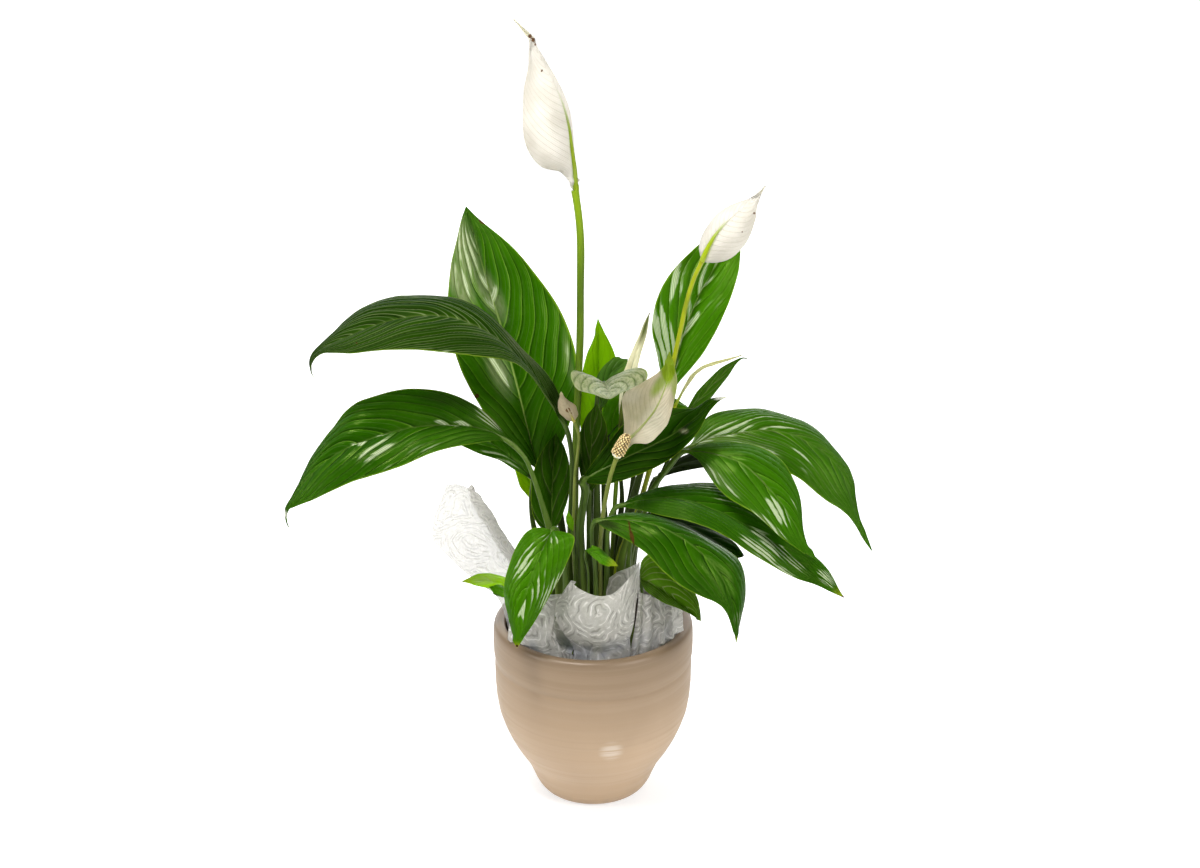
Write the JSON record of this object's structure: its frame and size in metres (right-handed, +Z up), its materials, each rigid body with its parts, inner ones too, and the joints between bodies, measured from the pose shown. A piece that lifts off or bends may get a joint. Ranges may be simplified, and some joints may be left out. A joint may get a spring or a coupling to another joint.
{
  "type": "potted peace lily",
  "caption": "Flowering peace lily in a round glazed cover pot, with its plastic nursery pot, soil and a white non-woven gift wrap tucked inside the rim.",
  "frame": {"origin": "centre of the flat underside of the cover pot's foot, the level it stands on", "axes": "+Z up along the pot's axis; the front of the plant faces -Y, so +X is to the right of someone looking at the front"},
  "size_m": [0.4647, 0.254, 0.6418],
  "materials": {
    "cover_pot_glaze": "satin taupe glaze with faint throwing rings",
    "nursery_plastic": "moulded brown plastic",
    "soil": "loose dark potting compost",
    "wrap": "white non-woven sheet with an embossed curling line pattern",
    "leaf": "glossy living leaf with sunken side veins",
    "flower_stem": "smooth green stalk",
    "spathe": "thin white flower bract with faint veins and a green midrib",
    "spadix": "knobbly cream and golden flower spike"
  },
  "bodies": {
    "root": {"ceramic_pot": "cover_pot_glaze", "nursery_pot": "nursery_plastic", "potting_soil": "soil", "wrap_sheet": "wrap", "leaf_01": "leaf", "leaf_02": "leaf", "leaf_03": "leaf", "leaf_04": "leaf", "leaf_05": "leaf", "leaf_06": "leaf", "leaf_07": "leaf", "leaf_08": "leaf", "leaf_09": "leaf", "leaf_10": "leaf", "leaf_11": "leaf", "leaf_12": "leaf", "leaf_13": "leaf", "leaf_14": "leaf", "leaf_15": "leaf", "leaf_16": "leaf", "leaf_17": "leaf", "leaf_18": "leaf", "leaf_19": "leaf", "leaf_20": "leaf", "leaf_21": "leaf", "leaf_22": "leaf", "leaf_23": "leaf", "leaf_24": "leaf", "leaf_25": "leaf", "leaf_26": "leaf", "leaf_27": "leaf", "leaf_28": "leaf", "leaf_29": "leaf", "flower_stem_1": "flower_stem", "flower_stem_2": "flower_stem", "flower_stem_3": "flower_stem", "flower_stem_4": "flower_stem", "flower_stem_5": "flower_stem", "flower_stem_6": "flower_stem", "spathe_1": "spathe", "spathe_2": "spathe", "spathe_3": "spathe", "spathe_4": "spathe", "spathe_5": "spathe", "spathe_6": "spathe", "spadix_1": "spadix", "spadix_2": "spadix", "spadix_3": "spadix", "spadix_4": "spadix", "spadix_6": "spadix"}
  },
  "joints": []
}
